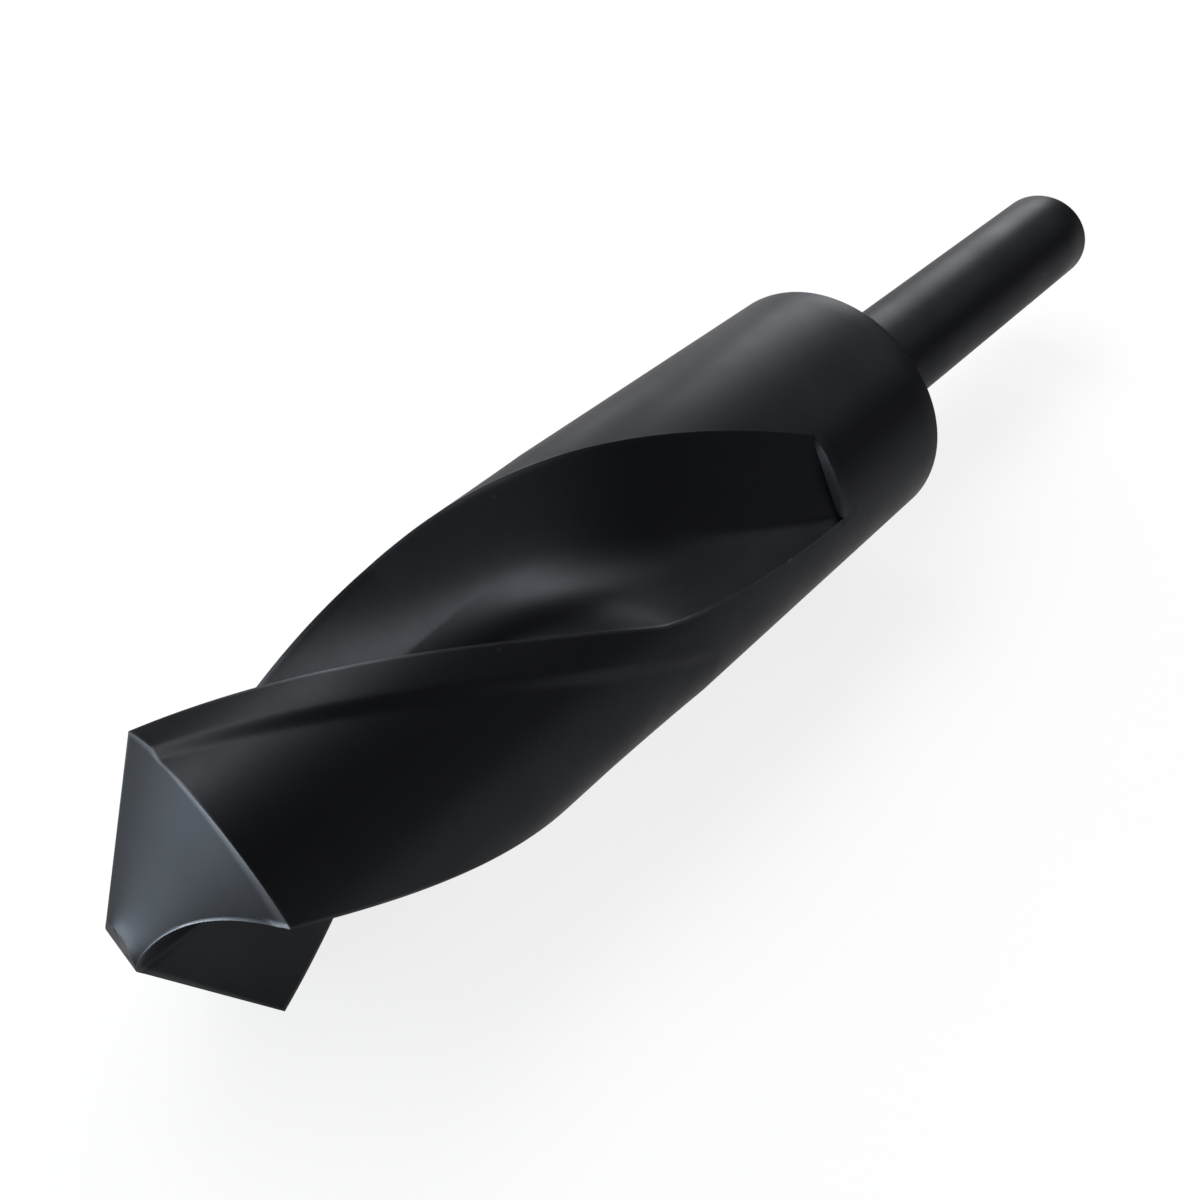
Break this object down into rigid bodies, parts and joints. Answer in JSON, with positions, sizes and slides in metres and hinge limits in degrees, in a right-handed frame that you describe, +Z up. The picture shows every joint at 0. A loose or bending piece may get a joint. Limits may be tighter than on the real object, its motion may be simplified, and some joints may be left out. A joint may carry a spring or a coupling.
{
  "type": "reduced shank drill bit",
  "caption": "Stubby two-flute twist drill bit with a plain collar and a thinner straight shank.",
  "frame": {"origin": "on the bit's axis, where the shank leaves the collar", "axes": "+X along the axis towards the shank's free end, +Z up with the bit lying level"},
  "size_m": [0.152, 0.03, 0.03],
  "materials": {
    "black_oxide_steel": "satin black oxide"
  },
  "bodies": {
    "root": {"drill_bit": "black_oxide_steel"}
  },
  "joints": []
}
